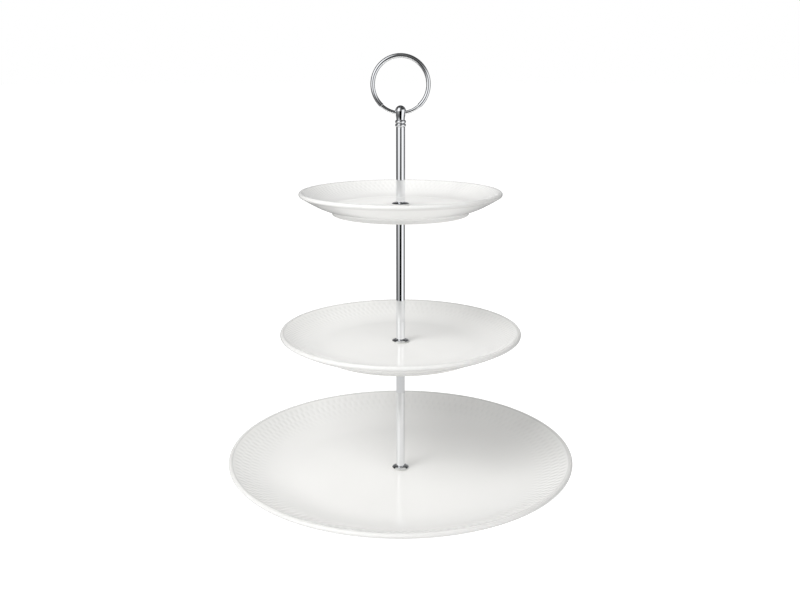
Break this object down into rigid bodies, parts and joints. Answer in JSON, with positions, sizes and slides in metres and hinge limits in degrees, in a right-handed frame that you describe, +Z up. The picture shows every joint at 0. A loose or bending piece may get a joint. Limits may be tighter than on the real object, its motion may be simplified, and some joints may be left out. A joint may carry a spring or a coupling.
{
  "type": "tiered cake stand",
  "caption": "Tiered cake stand: round coupe dishes clamped on a slim screwed rod, with domed cover washers, a beaded finial and a tilting carrying ring on top.",
  "frame": {"origin": "on the rod's axis, in the plane of the bottom plate's foot ring, which is the table", "axes": "+Z up along the rod; X across the carrying ring, Y square to it"},
  "size_m": [0.3, 0.3, 0.3668],
  "materials": {
    "porcelain": "high-gloss clear glaze over white porcelain",
    "chrome": "mirror polished plating",
    "steel": "bright zinc-plated steel, satin",
    "gasket": "soft milky plastic",
    "rubber": "matt black rubber"
  },
  "bodies": {
    "base": {"bottom_plate": "porcelain", "base_screw": "steel", "base_steel_washer": "steel", "base_rubber_washer": "rubber", "lower_gasket": "gasket"},
    "lower_cover": {"lower_domed_washer": "chrome"},
    "lower_post": {"lower_rod": "chrome", "middle_under_washer": "steel", "middle_lower_gasket": "gasket"},
    "middle_tier": {"middle_plate": "porcelain", "middle_upper_gasket": "gasket"},
    "middle_cover": {"middle_domed_washer": "chrome"},
    "middle_post": {"middle_rod": "chrome", "middle_stud": "steel", "top_under_washer": "steel", "top_lower_gasket": "gasket"},
    "top_tier": {"top_plate": "porcelain", "top_upper_gasket": "gasket"},
    "top_cover": {"top_domed_washer": "chrome"},
    "handle": {"handle_rod": "chrome", "top_stud": "steel", "finial": "chrome"},
    "ring": {"ring_handle": "chrome", "ring_pin": "chrome"}
  },
  "joints": [
    {"name": "lower_rod_turn", "type": "hinge", "parent": "base", "child": "lower_cover", "pos_m": [0, 0, 0.0129], "axis": [0, 0, 1], "range_deg": [0, 4325]},
    {"name": "lower_rod_rise", "type": "slide", "parent": "lower_cover", "child": "lower_post", "axis": [0, 0, 1], "range_m": [0, 0.0096]},
    {"name": "middle_plate_lift", "type": "slide", "parent": "lower_post", "child": "middle_tier", "axis": [0, 0, 1], "range_m": [0, 0.02]},
    {"name": "middle_rod_turn", "type": "hinge", "parent": "middle_tier", "child": "middle_cover", "pos_m": [0, 0, 0.1306], "axis": [0, 0, 1], "range_deg": [0, 4685]},
    {"name": "middle_rod_rise", "type": "slide", "parent": "middle_cover", "child": "middle_post", "axis": [0, 0, 1], "range_m": [0, 0.0104]},
    {"name": "top_plate_lift", "type": "slide", "parent": "middle_post", "child": "top_tier", "axis": [0, 0, 1], "range_m": [0, 0.02]},
    {"name": "handle_turn", "type": "hinge", "parent": "top_tier", "child": "top_cover", "pos_m": [0, 0, 0.2485], "axis": [0, 0, 1], "range_deg": [0, 4685]},
    {"name": "handle_rise", "type": "slide", "parent": "top_cover", "child": "handle", "axis": [0, 0, 1], "range_m": [0, 0.0104]},
    {"name": "ring_tilt", "type": "hinge", "parent": "handle", "child": "ring", "pos_m": [0, 0, 0.3204], "axis": [1, 0, 0], "range_deg": [-172, 172]}
  ],
  "couplings": [
    {"joint": "lower_rod_turn", "follows": "lower_rod_rise", "rad_per_m": 7854},
    {"joint": "middle_rod_turn", "follows": "middle_rod_rise", "rad_per_m": 7854},
    {"joint": "handle_turn", "follows": "handle_rise", "rad_per_m": 7854}
  ]
}
